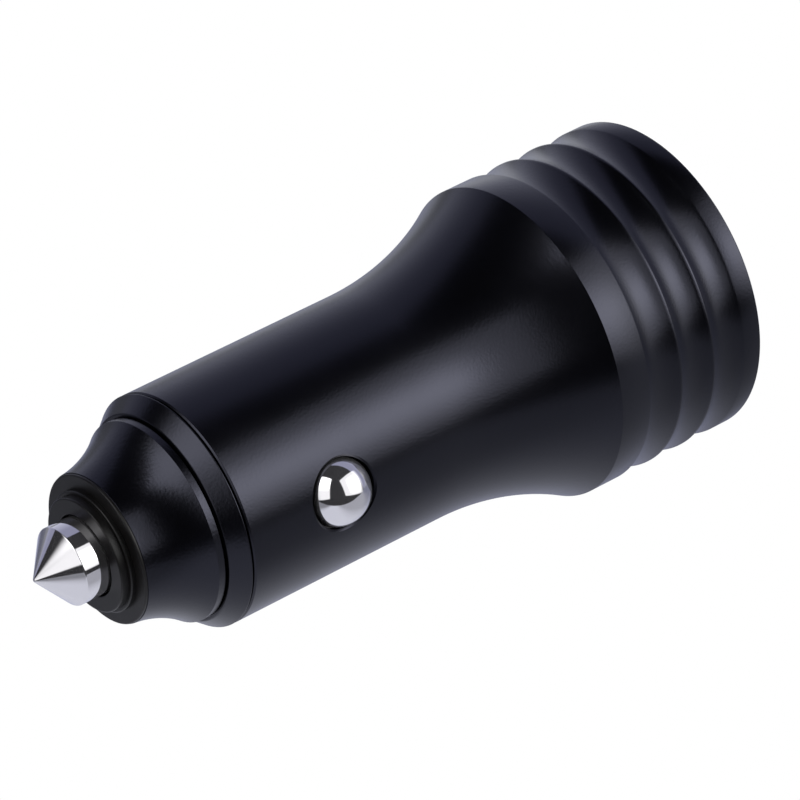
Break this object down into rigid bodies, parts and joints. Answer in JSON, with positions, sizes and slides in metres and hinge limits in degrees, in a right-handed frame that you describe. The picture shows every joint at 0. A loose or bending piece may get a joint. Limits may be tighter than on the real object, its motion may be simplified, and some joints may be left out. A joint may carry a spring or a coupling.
{
  "type": "car usb charger plug",
  "caption": "Black metal car USB charger plug with a sprung polished tip, sprung side contacts, flared nose and head with grip grooves, and USB sockets in its face.",
  "frame": {"origin": "centre of the wide end's rim plane, where the USB sockets are", "axes": "+Z along the plug's axis towards the tip, X through the side contacts, Y across the sockets' rows"},
  "size_m": [0.0284, 0.0284, 0.0658],
  "materials": {
    "anodised_body": "satin black anodised",
    "nose_plastic": "satin dark grey",
    "tip_chrome": "polished plating",
    "spring_steel": "drawn wire",
    "brass_strip": "bright stamped strip",
    "lead_insulation": "smooth insulation",
    "inner_plastic": "moulded, fine texture",
    "board_laminate": "solder mask",
    "shell_steel": "bright plated sheet",
    "tongue_plastic": "moulded",
    "contact_plating": "gold plated",
    "ferrite": "sintered",
    "capacitor_sleeve": "shrunk sleeve",
    "capacitor_can": "drawn can",
    "chip_epoxy": "moulded",
    "ceramic": "fired",
    "led_lens": "clear moulded",
    "clear_plastic": "clear moulded",
    "face_plastic": "smooth moulded"
  },
  "bodies": {
    "plug": {"body_shell": "anodised_body", "nose_cap": "anodised_body", "nose_insulator": "nose_plastic", "tip_spring": "spring_steel", "spring_terminal": "brass_strip", "positive_lead": "lead_insulation", "contact_carrier": "inner_plastic", "side_spring_right": "spring_steel", "side_spring_left": "spring_steel", "ground_strip": "brass_strip", "inner_housing": "inner_plastic", "circuit_board": "board_laminate", "usb_shell_a": "shell_steel", "usb_shell_b": "shell_steel", "usb_tongue_a": "tongue_plastic", "usb_tongue_b": "tongue_plastic", "usb_contacts_a": "contact_plating", "usb_contacts_b": "contact_plating", "power_inductor": "ferrite", "input_capacitor": "capacitor_sleeve", "output_capacitor": "capacitor_can", "controller_chip": "chip_epoxy", "small_components": "ceramic", "status_led": "led_lens", "light_pipe": "clear_plastic", "face_plate": "face_plastic"},
    "tip": {"tip_contact": "tip_chrome"},
    "side_right": {"side_contact_right": "tip_chrome"},
    "side_left": {"side_contact_left": "tip_chrome"}
  },
  "joints": [
    {"name": "tip_slide", "type": "slide", "parent": "plug", "child": "tip", "axis": [0, 0, -1], "range_m": [0, 0.002], "stiffness_N_per_m": 2500, "springref_m": -0.002, "deforming": ["tip_spring"]},
    {"name": "side_slide_right", "type": "slide", "parent": "plug", "child": "side_right", "axis": [-1, 0, 0], "range_m": [0, 0.0013], "stiffness_N_per_m": 1500, "springref_m": -0.0015, "deforming": ["side_spring_right"]},
    {"name": "side_slide_left", "type": "slide", "parent": "plug", "child": "side_left", "axis": [1, 0, 0], "range_m": [0, 0.0013], "stiffness_N_per_m": 1500, "springref_m": -0.0015, "deforming": ["side_spring_left"]}
  ]
}
